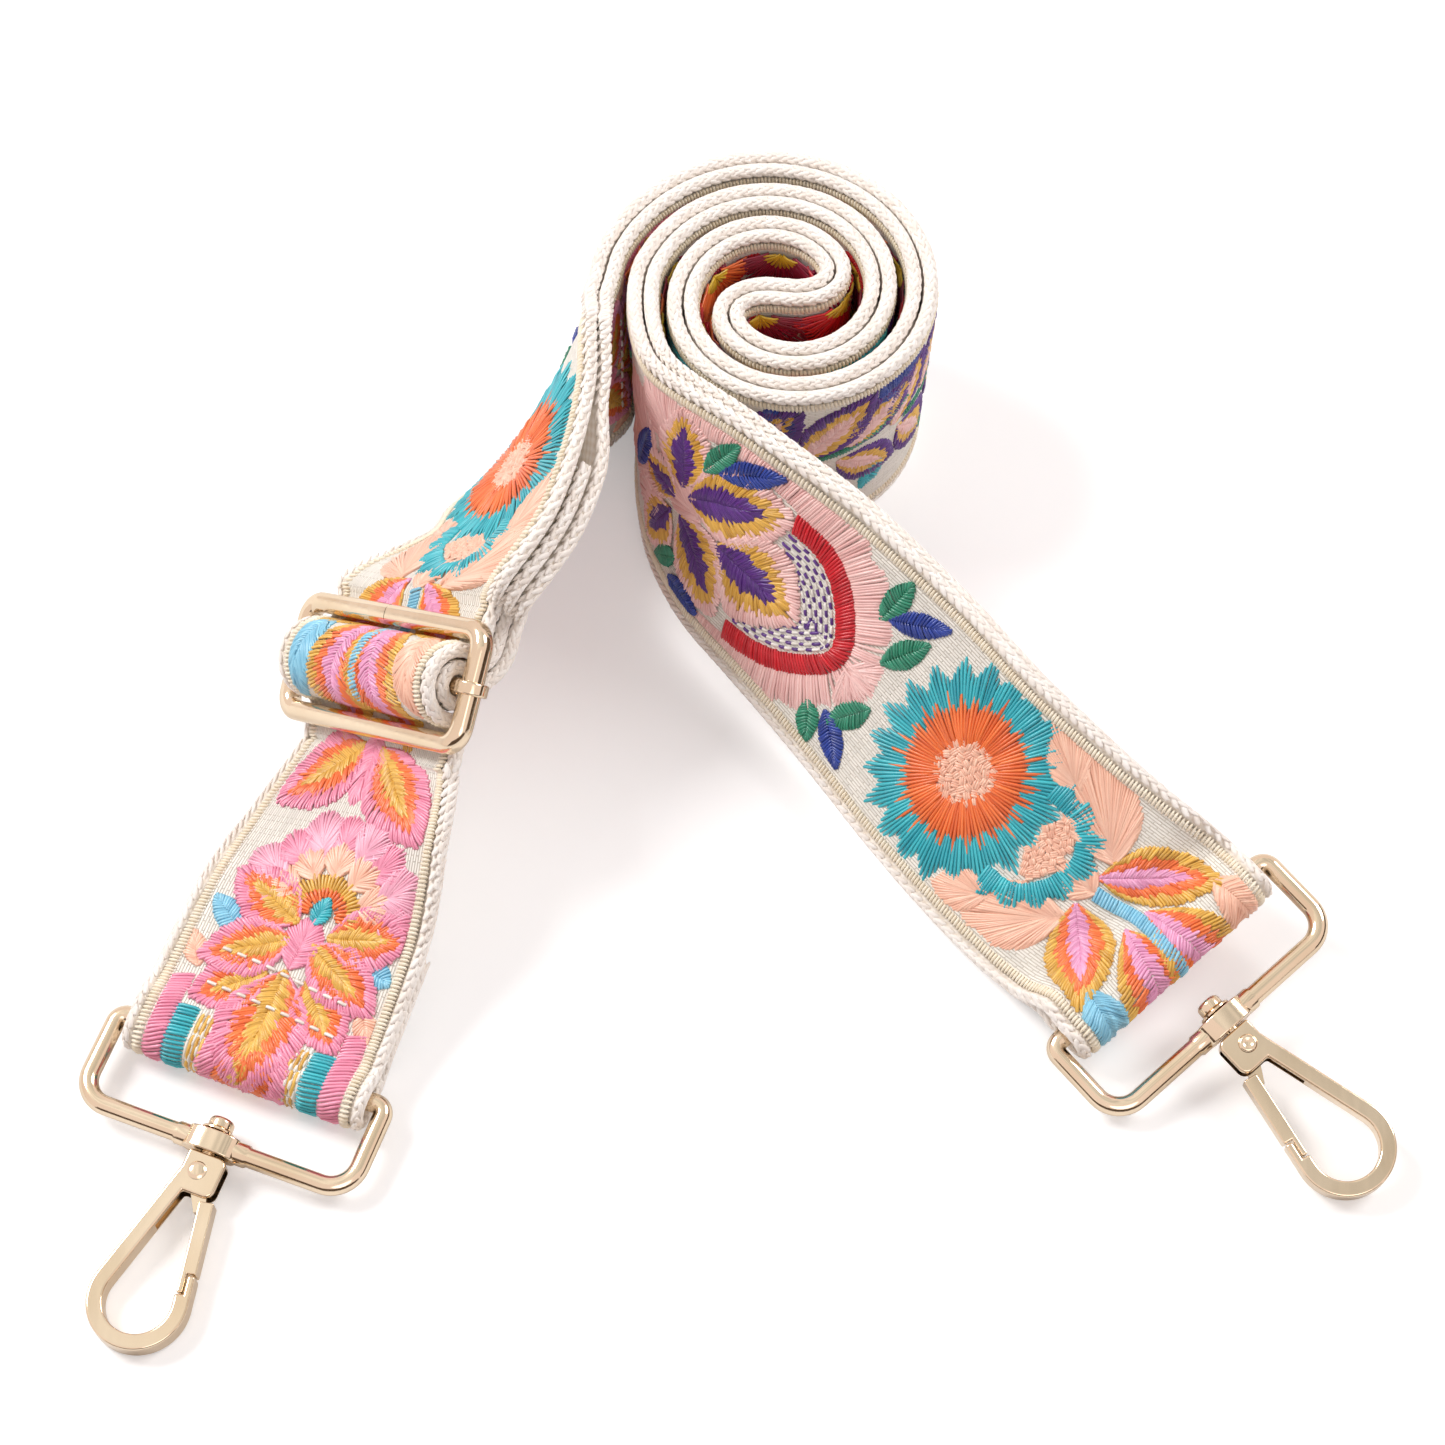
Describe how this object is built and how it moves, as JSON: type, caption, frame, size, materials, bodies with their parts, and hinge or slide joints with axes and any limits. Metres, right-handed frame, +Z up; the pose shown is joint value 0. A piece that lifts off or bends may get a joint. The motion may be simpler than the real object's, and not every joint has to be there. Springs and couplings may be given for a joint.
{
  "type": "detachable bag strap",
  "caption": "Adjustable shoulder strap for a bag: embroidered webbing rolled on edge, with a slide adjuster and a swivel snap hook on a rectangular ring at each end.",
  "frame": {"origin": "on the ground, under the middle of the laid-out strap", "axes": "+Z up; +Y from the two hooks towards the roll, away from the viewer; +X towards the right-hand hook"},
  "size_m": [0.2492, 0.2415, 0.0552],
  "materials": {
    "webbing": "off-white braided and woven cotton",
    "embroidery": "satin-stitch embroidery threads on an off-white ribbon",
    "gold_hardware": "polished pale gold plating",
    "spring_steel": "bare spring wire"
  },
  "bodies": {
    "strap": {"webbing_left_first_ply": "webbing", "ribbon_left_first_ply": "embroidery", "webbing_roll_first_ply": "webbing", "ribbon_roll_first_ply": "embroidery", "webbing_right_run": "webbing", "ribbon_right_run": "embroidery", "webbing_roll_second_ply": "webbing", "ribbon_roll_second_ply": "embroidery", "webbing_left_second_ply": "webbing", "ribbon_left_second_ply": "embroidery", "slider_centre_bar": "gold_hardware"},
    "slider": {"slider_frame": "gold_hardware"},
    "ring_a": {"ring_a": "gold_hardware"},
    "hook_a": {"swivel_stud_a": "gold_hardware", "stud_washer_a": "gold_hardware", "hook_body_a": "gold_hardware", "gate_rivet_a": "gold_hardware", "gate_spring_a": "spring_steel"},
    "gate_a": {"gate_a": "gold_hardware"},
    "ring_b": {"ring_b": "gold_hardware"},
    "hook_b": {"swivel_stud_b": "gold_hardware", "stud_washer_b": "gold_hardware", "hook_body_b": "gold_hardware", "gate_rivet_b": "gold_hardware", "gate_spring_b": "spring_steel"},
    "gate_b": {"gate_b": "gold_hardware"}
  },
  "joints": [
    {"name": "ring_a_swing", "type": "hinge", "parent": "strap", "child": "ring_a", "pos_m": [-0.092, -0.0636, 0.0053], "axis": [0.936, -0.352, 0], "range_deg": [-100, 100]},
    {"name": "hook_a_swivel", "type": "hinge", "parent": "ring_a", "child": "hook_a", "pos_m": [-0.0984, -0.08062, 0.00445], "axis": [-0.3516, -0.935, -0.0469], "continuous": true},
    {"name": "gate_a_press", "type": "hinge", "parent": "hook_a", "child": "gate_a", "pos_m": [-0.10056, -0.08637, 0.00416], "axis": [0.0165, 0.0439, -0.9989], "range_deg": [0, 25], "stiffness_Nm_per_rad": 0.02, "springref_deg": -20.05},
    {"name": "ring_b_swing", "type": "hinge", "parent": "strap", "child": "ring_b", "pos_m": [0.0817, -0.0438, 0.0109], "axis": [-0.7532, -0.6332, -0.1781], "range_deg": [-100, 100]},
    {"name": "hook_b_swivel", "type": "hinge", "parent": "ring_b", "child": "hook_b", "pos_m": [0.09362, -0.05741, 0.0089], "axis": [0.6547, -0.7479, -0.1099], "continuous": true},
    {"name": "gate_b_press", "type": "hinge", "parent": "hook_b", "child": "gate_b", "pos_m": [0.09764, -0.06201, 0.00822], "axis": [-0.0636, -0.1993, 0.9779], "range_deg": [0, 25], "stiffness_Nm_per_rad": 0.02, "springref_deg": -20.05},
    {"name": "slider_frame_play", "type": "slide", "parent": "strap", "child": "slider", "axis": [0.2377, 0.8692, 0.4335], "range_m": [-0.0005, 0.0005]}
  ]
}
